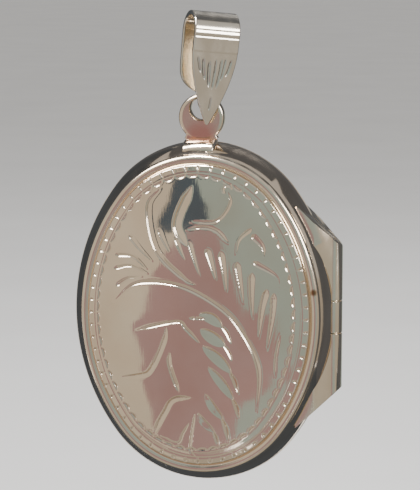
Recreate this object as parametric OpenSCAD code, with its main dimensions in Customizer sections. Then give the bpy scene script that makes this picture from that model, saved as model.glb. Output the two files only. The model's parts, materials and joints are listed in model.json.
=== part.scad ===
// Oval hinged locket on a folded leaf bail, drawn closed and hanging upright.
// +Z is up, the engraved front faces -Y and the joint of the two halves is on the +X side.
// The origin is the inner top of the bail's arch, where the chain carries the locket.

/* [Body] */
// Height of the oval body, without its lug
body_h = 30; // [29:0.5:31]
// Width of the oval body at the parting line, without its joint
body_w = 23.3; // [23:0.1:23.6]
// Depth of one half's side band
band_d = 2.2; // [2.1:0.05:2.3]
// How far the band swells from its rim to the parting line
band_flare = 0.95; // [0.9:0.05:1]
// Thickness of the band's metal
band_t = 0.45; // [0.4:0.05:0.5]
// Half of the hairline between the two closed halves
parting = 0.03; // [0.02:0.01:0.05]

/* [Covers] */
// Width of the half-round rim wire
rim_w = 0.85; // [0.8:0.05:0.9]
// Height of a cover's crown above the parting plane
crown_h = 3.8; // [3.7:0.05:3.9]
// Height of a cover's border above the parting plane
border_h = 2.8; // [2.75:0.05:2.85]
// Thickness of a cover's metal
cover_t = 0.4; // [0.35:0.05:0.45]

/* [Picture frames] */
// Width of the flat ring that retains a window
frame_w = 1.2; // [1:0.1:1.4]
// Thickness of the clear window
window_t = 0.2; // [0.15:0.05:0.25]
// Height of the snap lip above the parting plane
lip_h = 0.55; // [0.45:0.05:0.55]

/* [Joint] */
// Distance of the joint's axis from the body's centre
joint_x = 11.42; // [11.38:0.01:11.45]
// Radius of the joint's tube
tube_r = 0.78; // [0.74:0.01:0.8]
// Radius of the joint's pin
pin_r = 0.36; // [0.32:0.01:0.38]
// Height of the gap above the middle knuckle
knuckle_top = 1.4; // [1.2:0.05:1.5]
// Height of the gap below the middle knuckle
knuckle_bottom = -1.45; // [-1.6:0.05:-1.3]

/* [Lug] */
// Outer radius of the lug's ring
lug_r = 2.05; // [2:0.05:2.1]
// Thickness of the lug's ring
lug_t = 0.9; // [0.85:0.05:0.9]
// Radius of the lug's hole
lug_hole_r = 0.93; // [0.92:0.01:0.95]
// Offset of the lug from the middle of the body, away from the joint when negative
lug_x = -0.3; // [-0.4:0.1:0]

/* [Bail] */
// Width of the bail across its arch
bail_w = 4.1; // [3.8:0.1:4.4]
// Thickness of the bail's strip
bail_t = 0.4; // [0.35:0.05:0.4]
// Height of the bail's inner arch above the lug's ring
bail_h = 6.9; // [6.6:0.1:7.2]
// Turn of the bail about the vertical, as it hangs
bail_turn = 31; // [28:1:32]
// Lean of the bail towards the joint side, as it hangs
bail_lean = 6.5; // [4:0.5:8]

/* [Hidden] */
$fn = 96;

// The oval: two side arcs and two end arcs. The lines that join their centres are the long sides
// of 3:4:5 triangles, and the arcs meet on those lines at a common tangent.
half_w = body_w / 2;
half_h = body_h / 2;
centres = (half_h - half_w) / 0.4;
end_c = 0.6 * centres;
side_c = 0.8 * centres;
end_r = half_h - end_c;
side_r = half_w + side_c;
join = [4, 3] / 5;

// Side band: one circle gives the swelling, and a ledge carries the cover
swell_r = (band_d^2 + band_flare^2) / (2 * band_flare);
ledge_w = 0.5;
ledge_t = 0.35;
cover_edge = band_flare + rim_w;
ledge_edge = cover_edge + ledge_w;

// Cover: an arc from its border up to a small flat crown
crown_edge = 9.5;
crown_lap = 0.2;
border_w = 0.3;
border_wall = 0.3;
dome_run = crown_edge - cover_edge - border_w;
dome_rise = crown_h - border_h;
dome_r = (dome_run^2 + dome_rise^2) / (2 * dome_rise);

// Inside of one half, as offsets from the outer oval and heights above the parting plane
bezel_wall = 0.18;
frame_edge = 1.05;
frame_low = 0.35;
frame_t = 0.4;
window_h = frame_low + frame_t;
bezel_low = window_h + window_t;
bezel_t = 0.3;
bezel_reach = 1.9;
lip_t = 0.28;
lip_play = 0.07;
lip_root = 0.6;
lip_cut_x = 9.3;
lip_cut_z = 9.5;

// Joint: clearances, bevelled ends and the bearers that carry the tube
knuckle_gap = 0.06;
running_gap = 0.03;
fixed_gap = 0.01;
swing_gap = 0.08;
bevel = 0.93;
bevel_top = 6.9;
bevel_bottom = -6.95;
bearer_w = 3;
bearer_low = 0.78;
bearer_high = 1.7;
bearer_reach = 1.45;

// Lug: an eccentric hole leaves a thin arch at the top
lug_z = half_h + 2.03;
lug_edge = 0.25;
hole_z = half_h + 2.8;
hole_edge = 0.22;
neck_w = 2.3;
neck_base_w = 2.9;
neck_t = 0.8;
foot_w = 3.1;
foot_t = 0.35;
foot_d = 1.95;
solder_gap = 0.01;
swing_z = (lug_z + lug_r + hole_z + lug_hole_r) / 2;

// Bail in its own frame: x across the strip, y to its back, z up from the swing axis
arch_r = 1.65;
arch_z = bail_h - arch_r + bail_t / 2;
leg_v = -1.55;
tip_z = -2.3;
tip_w = 0.25;
collar_z = 4.0;
crook_r = 0.92;
tail_w = 0.56;
neck_z = 0.1;
leaf_taper = 1.7;
back_taper = 6;
bail_shift = 0.18;
seat = [lug_x + bail_shift + bail_h * sin(bail_lean), 0, swing_z + bail_h * cos(bail_lean)];

function bezier(p, t) = (1 - t)^2 * p[0] + 2 * t * (1 - t) * p[1] + t^2 * p[2];
function unit(v) = v / norm(v);
function normal_at(path, i) =
    let (d = unit(path[min(i + 1, len(path) - 1)] - path[max(i - 1, 0)])) [-d[1], d[0]];
function strip(path, t) = concat(
    [for (i = [0:len(path) - 1]) path[i] + normal_at(path, i) * t / 2],
    [for (i = [len(path) - 1:-1:0]) path[i] - normal_at(path, i) * t / 2]);

module oval(inset) {
    for (s = [-1, 1]) translate([0, s * end_c]) circle(end_r - inset);
    intersection() {
        translate([-side_c, 0]) circle(side_r - inset);
        translate([side_c, 0]) circle(side_r - inset);
        square([body_w, 2 * (end_c + (end_r - inset) * join[1])], center = true);
    }
}

// Revolves a profile at radius r and keeps the part inside a wedge
module arc_sweep(r, wedge) intersection() {
    rotate_extrude() translate([r, 0]) children();
    linear_extrude(4 * crown_h, center = true) polygon(wedge);
}

// Sweeps a profile round the oval: x is the offset outwards, y the height
module swept() {
    reach = 2 * body_h;
    edge = join * reach;
    for (s = [0, 1]) mirror([s, 0, 0]) translate([-side_c, 0])
        arc_sweep(side_r, [[0, 0], edge, [edge[0], -edge[1]]]) children();
    for (s = [0, 1]) mirror([0, s, 0]) translate([0, end_c])
        arc_sweep(end_r, [[0, 0], edge, [0, reach], [-edge[0], edge[1]]]) children();
}

module front_half() rotate([90, 0, 0]) children();
module back_half() mirror([0, 1, 0]) rotate([90, 0, 0]) children();
module swell(inset) translate([-swell_r, 0]) circle(swell_r - inset);

module band_profile() difference() {
    intersection() {
        swell(0);
        translate([-ledge_edge, parting]) square([ledge_edge, band_d - parting]);
    }
    intersection() {
        swell(band_t);
        translate([-swell_r, -1]) square([swell_r, band_d - ledge_t + 1]);
    }
}

module rim_profile() intersection() {
    translate([-band_flare - rim_w / 2, band_d]) circle(d = rim_w);
    translate([-cover_edge, band_d]) square(rim_w);
}

module cover_profile() {
    difference() {
        intersection() {
            translate([-crown_edge, crown_h - dome_r]) circle(dome_r, $fn = 360);
            polygon([[-cover_edge, band_d], [-cover_edge, band_d + border_wall],
                     [-cover_edge - border_w, border_h + 0.05], [-crown_edge, crown_h + 1],
                     [-crown_edge, band_d]]);
        }
        intersection() {
            translate([-crown_edge, crown_h - dome_r]) circle(dome_r - cover_t, $fn = 360);
            translate([-crown_edge - 1, 0]) square([crown_edge + 1 - ledge_edge, crown_h]);
        }
    }
    translate([-crown_edge - crown_lap, crown_h - cover_t]) square([crown_lap, cover_t]);
}

module bezel_profile() intersection() {
    swell(band_t);
    union() {
        translate([-bezel_reach, bezel_low]) square([bezel_reach, bezel_t]);
        translate([-frame_edge, lip_h + lip_play])
            square([bezel_wall, bezel_low + bezel_t - lip_h - lip_play]);
    }
}

module frame_profile() translate([-frame_edge, frame_low])
    polygon([[0, 0], [0, frame_t], [-frame_w, frame_t], [-frame_w, frame_t / 2],
             [-frame_w + frame_t / 2, 0]]);

module lip_profile() {
    outer = band_t + lip_play;
    intersection() {
        swell(band_t);
        translate([-outer - lip_t, parting]) square([outer, lip_root]);
    }
    polygon([[-outer - lip_t, parting], [-outer - lip_t, 0.1 - lip_h], [-outer - lip_t + 0.1, -lip_h],
             [-outer - 0.1, -lip_h], [-outer, 0.1 - lip_h], [-outer, parting]]);
}

module cover() {
    swept() cover_profile();
    translate([0, 0, crown_h - cover_t]) linear_extrude(cover_t) oval(crown_edge + crown_lap / 2);
}

module window() translate([0, 0, window_h]) linear_extrude(window_t) oval(frame_edge);

module joint_at() translate([joint_x, 0, 0]) children();

// Keeps only what lies between the joint's two bevelled ends
module bevelled() intersection() {
    children();
    rotate([90, 0, 0]) linear_extrude(4 * crown_h, center = true)
        polygon([[joint_x + 2, bevel_top - 2 * bevel],
                 [joint_x - bearer_w, bevel_top + bearer_w * bevel],
                 [joint_x - bearer_w, bevel_bottom - bearer_w * bevel],
                 [joint_x + 2, bevel_bottom + 2 * bevel]]);
}

module tube(low, high, r) translate([0, 0, low]) cylinder(r = r, h = high - low);

module knuckle(low, high, bore) bevelled() joint_at() difference() {
    tube(low, high, tube_r);
    tube(low - 1, high + 1, bore);
}

upper_span = [knuckle_top + knuckle_gap / 2, 9];
middle_span = [knuckle_bottom + knuckle_gap / 2, knuckle_top - knuckle_gap / 2];
lower_span = [-9, knuckle_bottom - knuckle_gap / 2];

// The grooves and the flat that make room for the joint, in front of and behind the parting plane
module joint_room(own, other) joint_at() {
    for (s = own) tube(s[0], s[1], tube_r);
    for (s = other) tube(s[0] - knuckle_gap, s[1] + knuckle_gap, tube_r + swing_gap);
    translate([0, -5, -lip_cut_z]) cube([5, 10, 2 * lip_cut_z]);
}

module front_room() joint_room([upper_span, lower_span], [middle_span]);
module back_room() joint_room([middle_span], [upper_span, lower_span]);

// Solid of the side arc's swelling, which the bearer is fitted against
module side_barrel() translate([-side_c, 0]) rotate_extrude($fn = 192) intersection() {
    union() {
        translate([side_r - swell_r, 0]) circle(swell_r);
        square([side_r - swell_r, swell_r]);
    }
    square([side_r, swell_r]);
}

module bearer_block() rotate([90, 0, 0]) linear_extrude(4 * half_w, center = true)
    polygon([[joint_x - bearer_w, parting], [joint_x, parting], [joint_x, bearer_low],
             [joint_x - bearer_reach, bearer_high], [joint_x - bearer_w, bearer_high]]);

// One wedge, above (s = 1) or below (s = -1) the swelling of the side arc
module bearer(s) intersection() {
    difference() {
        bearer_block();
        side_barrel();
    }
    translate([0, s * body_h, 0]) cube(2 * body_h, center = true);
}

module end_barrel(grow) translate([0, end_c]) rotate_extrude() intersection() {
    union() {
        translate([end_r - swell_r, 0]) circle(swell_r + grow);
        square([end_r - swell_r, swell_r + grow]);
    }
    square([end_r + grow, swell_r + grow]);
}

module bail_outline(w, top, low, low_w, power) {
    steps = 24;
    half = [for (i = [0:steps]) let (s = i / steps)
        [(low_w + (w - low_w) * (1 - s^power)) / 2, top + (low - top) * s]];
    polygon(concat([[w / 2, bail_h + 1]], half,
        [[low_w / 2, low - 5], [-low_w / 2, low - 5]],
        [for (i = [steps:-1:0]) [-half[i][0], half[i][1]]], [[-w / 2, bail_h + 1]]));
}

// Gives one stretch of the strip its outline, seen from the front
module bail_stretch(path) intersection() {
    rotate([90, 0, 90]) linear_extrude(2 * bail_w, center = true) polygon(strip(path, bail_t));
    rotate([90, 0, 0]) linear_extrude(4 * arch_r, center = true) children();
}

module bail_strip() {
    arch = [for (a = [90:-9:0]) [arch_r * cos(a), arch_z + arch_r * sin(a)]];
    front_arch = [for (i = [len(arch) - 1:-1:0]) [-arch[i][0], arch[i][1]]];
    front_leg = [for (i = [0:16])
        bezier([[leg_v + 0.08, tip_z], [leg_v - 0.1, 1.2], [-arch_r, arch_z]], i / 17)];
    back_leg = [for (i = [1:16])
        bezier([[arch_r, arch_z], [crook_r + 0.45, 2], [crook_r, 0]], i / 17)];
    crook = [for (a = [0:-9:-90]) [crook_r * cos(a), crook_r * sin(a)]];
    tail = [[leg_v, -crook_r]];
    bail_stretch(concat(front_leg, front_arch)) difference() {
        bail_outline(bail_w, collar_z, tip_z, tip_w, leaf_taper);
        translate([-bail_w, tip_z - 6]) square([2 * bail_w, 6]);
    }
    bail_stretch(concat(arch, back_leg, crook, tail))
        bail_outline(bail_w, collar_z, neck_z, tail_w, back_taper);
}

module placed() translate(-seat) children();

module bail() color("tan") placed() translate([lug_x + bail_shift, 0, swing_z]) rotate([0, bail_lean, 0])
    rotate([0, 0, bail_turn]) bail_strip();

module lug_disc() rotate_extrude() {
    translate([0, -lug_t / 2 + lug_edge]) square([lug_r, lug_t - 2 * lug_edge]);
    translate([0, -lug_t / 2]) square([lug_r - lug_edge, lug_t]);
    for (s = [-1, 1]) translate([lug_r - lug_edge, s * (lug_t / 2 - lug_edge)]) circle(lug_edge);
}

module lug_hole() {
    cylinder(r = lug_hole_r, h = 2 * lug_t, center = true);
    for (s = [0, 1]) mirror([0, 0, s]) rotate_extrude() difference() {
        translate([0, lug_t / 2 - hole_edge]) square([lug_hole_r + hole_edge, 2 * hole_edge]);
        translate([lug_hole_r + hole_edge, lug_t / 2 - hole_edge]) circle(hole_edge);
    }
}

module lug_neck() linear_extrude(neck_t, center = true)
    polygon([[-neck_base_w / 2, half_h], [neck_base_w / 2, half_h], [neck_w / 2, half_h + 0.75],
             [neck_w / 2 + 0.35, half_h + 1.3], [-neck_w / 2 - 0.35, half_h + 1.3],
             [-neck_w / 2, half_h + 0.75]]);

module lug_ring() color("burlywood") placed() front_half() difference() {
    union() {
        translate([lug_x, lug_z]) lug_disc();
        translate([lug_x, 0]) lug_neck();
    }
    translate([lug_x, hole_z]) lug_hole();
    for (s = [0, 1]) mirror([0, 0, s]) end_barrel(foot_t + solder_gap);
}

module lug_foot() color("burlywood") placed() front_half() {
    span = asin(foot_w / 2 / (end_r + foot_t));
    middle = 90 - asin(lug_x / (end_r + foot_t));
    translate([0, end_c]) rotate_extrude(angle = 2 * span, start = middle - span) translate([end_r, 0])
        intersection() {
            difference() {
                swell(-foot_t);
                swell(-solder_gap);
            }
            translate([-swell_r, parting]) square([2 * swell_r, foot_d - parting]);
        }
}

module front_cover() color("wheat") placed() front_half() cover();
module front_rim() color("navajowhite") placed() front_half() swept() rim_profile();
module front_band() color("rosybrown") placed() difference() {
    front_half() swept() band_profile();
    front_room();
}
module front_picture_bezel() color("peru") placed() difference() {
    front_half() swept() bezel_profile();
    front_room();
}
module front_picture_frame() color("goldenrod") placed() front_half() swept() frame_profile();
module front_window() color([0.85, 0.92, 0.95, 0.4]) placed() front_half() window();
module front_bearer(s) color("burlywood") placed() bevelled() difference() {
    front_half() bearer(s);
    front_room();
}
module upper_front_bearer() front_bearer(1);
module lower_front_bearer() front_bearer(-1);
module upper_knuckle() color("tan") placed() knuckle(upper_span[0], upper_span[1], pin_r + fixed_gap);
module lower_knuckle() color("tan") placed() knuckle(lower_span[0], lower_span[1], pin_r + fixed_gap);
module joint_pin() color("gray") placed() bevelled() joint_at() tube(lower_span[0], upper_span[1], pin_r);

module back_cover() color("wheat") placed() back_half() cover();
module back_rim() color("navajowhite") placed() back_half() swept() rim_profile();
module back_band() color("rosybrown") placed() difference() {
    back_half() swept() band_profile();
    back_room();
}
module back_picture_bezel() color("peru") placed() difference() {
    back_half() swept() bezel_profile();
    back_room();
}
module back_picture_frame() color("goldenrod") placed() back_half() swept() frame_profile();
module back_window() color([0.85, 0.92, 0.95, 0.4]) placed() back_half() window();
module back_bearer(s) color("burlywood") placed() bevelled() difference() {
    back_half() bearer(s);
    back_room();
}
module upper_back_bearer() back_bearer(1);
module lower_back_bearer() back_bearer(-1);
module middle_knuckle() color("tan") placed()
    knuckle(middle_span[0], middle_span[1], pin_r + running_gap);
module snap_lip() color("peru") placed() difference() {
    back_half() swept() lip_profile();
    translate([lip_cut_x, -3, -lip_cut_z]) cube([5, 6, 2 * lip_cut_z]);
}

bail();
lug_ring();
lug_foot();
front_cover();
front_rim();
front_band();
front_picture_bezel();
front_picture_frame();
front_window();
upper_front_bearer();
lower_front_bearer();
upper_knuckle();
lower_knuckle();
joint_pin();
back_cover();
back_rim();
back_band();
back_picture_bezel();
back_picture_frame();
back_window();
upper_back_bearer();
lower_back_bearer();
middle_knuckle();
snap_lip();
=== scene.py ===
"""Looks of an oval hinged gold locket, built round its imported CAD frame.

Lengths are in mm until a mesh is made.
"""
import json
import math

import bmesh
import bpy
import numpy as np
from mathutils import Matrix, Vector


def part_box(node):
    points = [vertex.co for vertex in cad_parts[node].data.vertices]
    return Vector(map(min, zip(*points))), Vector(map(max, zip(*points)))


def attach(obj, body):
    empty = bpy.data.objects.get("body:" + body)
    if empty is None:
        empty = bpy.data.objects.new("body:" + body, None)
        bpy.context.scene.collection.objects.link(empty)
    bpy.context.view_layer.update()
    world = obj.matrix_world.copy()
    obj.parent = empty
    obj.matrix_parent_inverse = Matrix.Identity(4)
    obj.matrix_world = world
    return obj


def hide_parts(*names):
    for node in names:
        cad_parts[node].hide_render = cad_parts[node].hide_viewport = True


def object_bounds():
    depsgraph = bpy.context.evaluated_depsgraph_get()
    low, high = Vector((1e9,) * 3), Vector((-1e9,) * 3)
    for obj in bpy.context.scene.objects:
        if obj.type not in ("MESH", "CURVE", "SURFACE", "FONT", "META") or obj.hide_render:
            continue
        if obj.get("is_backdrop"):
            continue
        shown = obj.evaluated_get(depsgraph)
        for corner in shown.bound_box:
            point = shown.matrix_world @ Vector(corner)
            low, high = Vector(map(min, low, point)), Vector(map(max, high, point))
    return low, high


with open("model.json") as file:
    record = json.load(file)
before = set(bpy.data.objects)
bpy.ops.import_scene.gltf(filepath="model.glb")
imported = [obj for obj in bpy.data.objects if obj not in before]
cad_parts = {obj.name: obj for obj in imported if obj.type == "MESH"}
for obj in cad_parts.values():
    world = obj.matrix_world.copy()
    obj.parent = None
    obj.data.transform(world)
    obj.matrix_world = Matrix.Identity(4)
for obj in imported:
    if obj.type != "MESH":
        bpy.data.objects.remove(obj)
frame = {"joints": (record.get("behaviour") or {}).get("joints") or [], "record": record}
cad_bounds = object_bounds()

MM = 0.001
FRONT, BACK = -1, 1


# ---- sizes from the frame

def mm_box(node):
    """Lowest and highest corner of a CAD node, in mm."""
    low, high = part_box(node)
    return np.array(low) / MM, np.array(high) / MM


rim_low, rim_high = mm_box("front_rim")
band_low, band_high = mm_box("front_band")
cover_low, cover_high = mm_box("front_cover")
bezel_low, bezel_high = mm_box("front_picture_bezel")
ring_low, ring_high = mm_box("front_picture_frame")
glass_low, glass_high = mm_box("front_window")
lip_low, lip_high = mm_box("snap_lip")
knuckle_low, knuckle_high = mm_box("middle_knuckle")

middle = np.array([(rim_low[0] + rim_high[0]) / 2, 0, (rim_low[2] + rim_high[2]) / 2])
half_h = (band_high[2] - band_low[2]) / 2
half_w = middle[0] - band_low[0]
flare = half_h - (rim_high[2] - rim_low[2]) / 2
parting = -band_high[1]
band_d = -rim_high[1]
cover_edge = half_h - (cover_high[2] - cover_low[2]) / 2
crown_h = -cover_low[1]
joint_x = (knuckle_low[0] + knuckle_high[0]) / 2 - middle[0]
tube_r = (knuckle_high[0] - knuckle_low[0]) / 2

# The oval's four arcs: their centres make 3:4:5 triangles
centres = (half_h - half_w) / 0.4
end_c, side_c = 0.6 * centres, 0.8 * centres
end_r, side_r = half_h - end_c, half_w + side_c
join_angle = math.atan2(3, 4)

# Sections of one half
band_t = 0.45
swell_r = (band_d ** 2 + flare ** 2) / (2 * flare)
ledge_w, ledge_t = 0.5, 0.35
dome_rise = 1.0
border_h = crown_h - dome_rise
shoulder = 0.14
cover_t = 0.4
bezel_base, bezel_top = -bezel_high[1], -bezel_low[1]
bezel_reach = 1.9
frame_edge = half_h - (ring_high[2] - ring_low[2]) / 2
frame_low, frame_t = -ring_high[1], ring_high[1] - ring_low[1]
frame_w = 1.2
lip_h, lip_root = -lip_low[1], lip_high[1]
lip_play = 0.07

# Joint and its bevelled ends
knuckle_spans = {name: [mm_box(name)[end][2] - middle[2] for end in (0, 1)]
                 for name in ("upper_knuckle", "middle_knuckle", "lower_knuckle")}
pin_low, pin_high = mm_box("joint_pin")
pin_r = (pin_high[1] - pin_low[1]) / 2
bevel = 0.93
bevel_top = knuckle_spans["upper_knuckle"][1] - bevel * tube_r
bevel_bottom = knuckle_spans["lower_knuckle"][0] + bevel * tube_r
bearer_high = -mm_box("upper_front_bearer")[0][1]
bearer_low = 0.78
bearer_reach = 1.45
bearer_root = 3
swing_gap = 0.08
knuckle_gap = knuckle_spans["upper_knuckle"][0] - knuckle_spans["middle_knuckle"][1]

# Lug
lug_low, lug_high = mm_box("lug_ring")
foot_low, foot_high = mm_box("lug_foot")
lug_r = (lug_high[0] - lug_low[0]) / 2
lug_t = lug_high[1] - lug_low[1]
lug_x = (lug_low[0] + lug_high[0]) / 2 - middle[0]
lug_z = lug_high[2] - lug_r - middle[2]
lug_hole_r = 0.93
hole_z = lug_z + 0.77
foot_t = 0.35
foot_d = -foot_low[1]

# Bail: it turns about the swing axis, and the chain seat says which way its arch runs
bail_swing = next(joint for joint in frame["joints"] if joint["name"] == "bail_swing")
swing = np.array(bail_swing["pos_m"]) / MM
along_arch = np.array(frame["record"]["mounts"][0]["axis"])
bail_turn = math.asin(along_arch[1])
bail_lean = math.atan2(-along_arch[2], along_arch[0])
bail_t = 0.4
bail_h = 6.9


# ---- mesh helpers

def mesh_object(name, verts, faces):
    """Makes an object from points in mm and faces, with its normals outwards and smooth shading."""
    mesh = bpy.data.meshes.new(name)
    mesh.from_pydata([tuple(v) for v in np.asarray(verts, float) * MM], [], faces)
    mesh.update()
    work = bmesh.new()
    work.from_mesh(mesh)
    bmesh.ops.recalc_face_normals(work, faces=work.faces)
    work.to_mesh(mesh)
    work.free()
    mesh.shade_smooth()
    piece = bpy.data.objects.new(name, mesh)
    bpy.context.scene.collection.objects.link(piece)
    return piece


def grid_faces(rows, cols, closed_rows, closed_cols):
    """Quads over a grid of rows x cols points."""
    faces = []
    for r in range(rows if closed_rows else rows - 1):
        for c in range(cols if closed_cols else cols - 1):
            r2, c2 = (r + 1) % rows, (c + 1) % cols
            faces.append((r * cols + c, r * cols + c2, r2 * cols + c2, r2 * cols + c))
    return faces


def loft(name, sections, closed=False):
    """Joins closed sections of equal count. An open loft gets flat caps."""
    sections = np.asarray(sections, float)
    rows, cols = sections.shape[:2]
    faces = grid_faces(rows, cols, closed, True)
    if not closed:
        faces.append(tuple(range(cols)))
        faces.append(tuple((rows - 1) * cols + c for c in range(cols)))
    return mesh_object(name, sections.reshape(-1, 3), faces)


def fillet(points, radius, steps=4):
    """Rounds every corner of a closed outline. radius is one number, or one for each corner."""
    most = 0.45
    points = np.asarray(points, float)
    count = len(points)
    radii = np.broadcast_to(radius, count)
    out = []
    for i in range(count):
        here, before, after = points[i], points[i - 1], points[(i + 1) % count]
        to_before, to_after = before - here, after - here
        reach = min(radii[i], most * np.linalg.norm(to_before), most * np.linalg.norm(to_after))
        start = here + to_before / np.linalg.norm(to_before) * reach
        stop = here + to_after / np.linalg.norm(to_after) * reach
        for t in np.linspace(0, 1, steps + 1):
            out.append((1 - t) ** 2 * start + 2 * t * (1 - t) * here + t ** 2 * stop)
    return np.array(out)


def applied(piece, *modifiers):
    """Applies modifiers, each (type, settings), and keeps the result as the object's mesh."""
    for kind, settings in modifiers:
        modifier = piece.modifiers.new(kind.lower(), kind)
        for key, value in settings.items():
            setattr(modifier, key, value)
    graph = bpy.context.evaluated_depsgraph_get()
    result = bpy.data.meshes.new_from_object(piece.evaluated_get(graph))
    piece.modifiers.clear()
    piece.data = result
    return piece


def boolean(piece, cutter, operation="DIFFERENCE"):
    """Cuts piece with cutter, and removes the cutter."""
    applied(piece, ("BOOLEAN", {"operation": operation, "solver": "EXACT", "object": cutter}))
    bpy.data.objects.remove(cutter)
    return piece


def crisp(piece, degrees=32):
    """Smooth shading with sharp edges over an angle."""
    piece.data.shade_smooth()
    piece.data.set_sharp_from_angle(angle=math.radians(degrees))
    return piece


def placed(x, z, y):
    """Points of the body's own plane, moved to the row frame."""
    return np.stack([x + middle[0], np.broadcast_to(y, np.shape(x)), z + middle[2]], -1)


# ---- the oval

def outline(count, inset=0.0):
    """Points and outward normals of the outer oval, spaced evenly along the oval inset inside it."""
    side_len = 2 * join_angle * (side_r - inset)
    end_len = (math.pi - 2 * join_angle) * (end_r - inset)
    arcs = [((-side_c, 0), side_r, -join_angle, side_len), ((0, end_c), end_r, join_angle, end_len),
            ((side_c, 0), side_r, math.pi - join_angle, side_len),
            ((0, -end_c), end_r, math.pi + join_angle, end_len)]
    total = 2 * (side_len + end_len)
    base, normal = np.zeros((count, 2)), np.zeros((count, 2))
    for i in range(count):
        along = (i * total / count + side_len / 2) % total
        for centre, radius, start, length in arcs:
            if along <= length:
                angle = start + along / (radius - inset)
                normal[i] = math.cos(angle), math.sin(angle)
                base[i] = np.array(centre) + radius * normal[i]
                break
            along -= length
    return base, normal


def inset_of(x, z):
    """Distance inside the outer oval, for points of the body's plane."""
    ax, az = np.abs(x), np.abs(z)
    on_side = az * 4 <= (ax + side_c) * 3
    side = side_r - np.hypot(ax + side_c, az)
    end = end_r - np.hypot(ax, az - end_c)
    return np.where(on_side, side, end)


def sweep(name, profile, side, count=480, keep=None):
    """Sweeps a closed profile of (offset outwards, height) round the oval.

    keep(x, z) leaves a gap where it is false.
    """
    base, normal = outline(count)
    sections = []
    for offset, height in np.asarray(profile, float):
        at = base + offset * normal
        sections.append(placed(at[:, 0], at[:, 1], side * height))
    sections = np.array(sections).transpose(1, 0, 2)
    if keep is None:
        return loft(name, sections, closed=True)
    kept = np.array([keep(*p) for p in base])
    first = next(i for i in range(count) if kept[i] and not kept[i - 1])
    order = np.roll(np.arange(count), -first)
    return loft(name, sections[order[kept[order]]])


def ring_faces(a, b):
    """Faces between two rings, each (first point, count).

    Their counts are equal, or one is half the other, or one of them is 1.
    """
    wide, slim = (a, b) if a[1] >= b[1] else (b, a)
    step = wide[1] // slim[1]
    if slim[1] == 1:
        return [(wide[0] + j, wide[0] + (j + 1) % wide[1], slim[0]) for j in range(wide[1])]
    faces = []
    for j in range(slim[1]):
        outer = [wide[0] + (step * j + k) % wide[1] for k in range(step + 1)]
        faces.append((*outer, slim[0] + (j + 1) % slim[1], slim[0] + j))
    return faces


def thinned(ring, share):
    """A ring shrunk to a share of its size, with half the points for each halving."""
    return ring[::2 ** int(math.log2(1 / share))] * share


def ring_mesh(name, surfaces):
    """Joins rings of points into one closed mesh.

    Each surface is a list of rings that ends in a single point. The surfaces meet at their first rings.
    """
    verts, faces, start, firsts = [], [], 0, []
    for rings in surfaces:
        spans = []
        for ring in rings:
            verts.extend(ring)
            spans.append((start, len(ring)))
            start += len(ring)
        firsts.append(spans[0])
        for a, b in zip(spans, spans[1:]):
            faces += ring_faces(a, b)
    return mesh_object(name, verts, faces + ring_faces(*firsts))


# ---- engraving

def smooth_line(points, spacing=0.06):
    """Points of a smooth curve through given ones, in the plane of the body."""
    p = np.asarray(points, float)
    p = np.vstack([2 * p[0] - p[1], p, 2 * p[-1] - p[-2]])
    out = []
    for a, b, c, d in zip(p[:-3], p[1:-2], p[2:-1], p[3:]):
        steps = max(2, int(np.linalg.norm(c - b) / spacing))
        t = np.arange(steps)[:, None] / steps
        once, twice, thrice = c - a, 2 * a - 5 * b + 4 * c - d, 3 * (b - c) + d - a
        out.append(0.5 * (2 * b + once * t + twice * t ** 2 + thrice * t ** 3))
    return np.vstack([*out, p[-2:-1]])


def stem_width(t):
    """Share of a cut's width along it: a stem that comes to a point at both ends."""
    return np.clip(3.2 * np.clip(np.minimum(t, 1 - t), 0, 1) ** 0.7, 0, 1)


def drop_width(t):
    """A blunt start and a long taper."""
    return np.minimum(np.sqrt(np.clip(t / 0.12, 0, 1)), np.clip(1 - t, 0, 1) ** 0.6)


def leaf_width(t):
    """Widest in the middle."""
    return np.sin(np.pi * np.clip(t, 0, 1)) ** 0.6


def cut_depth(points, lines, slope, limit, burr=0.012):
    """Depth of graver cuts at points, with a low burr along their edges.

    lines is a list of (width, share of it along the line, points of the line, lean). A cut with no lean is
    a V of the given slope. Any other is one broad facet of slope lean, with a steep wall on the left of the
    line, or on the right if lean is negative.
    """
    steep, burr_w, outside = 1.1, 0.05, -9.0
    inside, depth = np.full(len(points), -1.0), np.zeros(len(points))
    for width, shape, line, lean in lines:
        line = np.asarray(line)
        low, high = line.min(0) - width, line.max(0) + width
        near = np.nonzero(((points > low) & (points < high)).all(1))[0]
        if not len(near):
            continue
        along = np.linspace(0, 1, len(line))
        best, across = np.full(len(near), outside), np.zeros(len(near))
        for i in range(len(line) - 1):
            out, d = points[near] - line[i], line[i + 1] - line[i]
            t = np.clip(out @ d / max(d @ d, 1e-12), 0, 1)
            gap = np.linalg.norm(out - t[:, None] * d, axis=1)
            room = width * shape(along[i] + t * (along[i + 1] - along[i])) / 2 - gap
            side = np.sign(d[0] * out[:, 1] - d[1] * out[:, 0])
            across = np.where(room > best, side * gap, across)
            best = np.maximum(best, room)
        cut = best * slope
        if lean:
            half, across = best + np.abs(across), across * np.sign(lean)
            cut = np.minimum((half + across) * abs(lean), (half - across) * steep)
        inside[near] = np.maximum(inside[near], best)
        depth[near] = np.maximum(depth[near], cut)
    return np.clip(depth, 0, limit) - burr * np.exp(-(inside / burr_w) ** 2)


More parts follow.
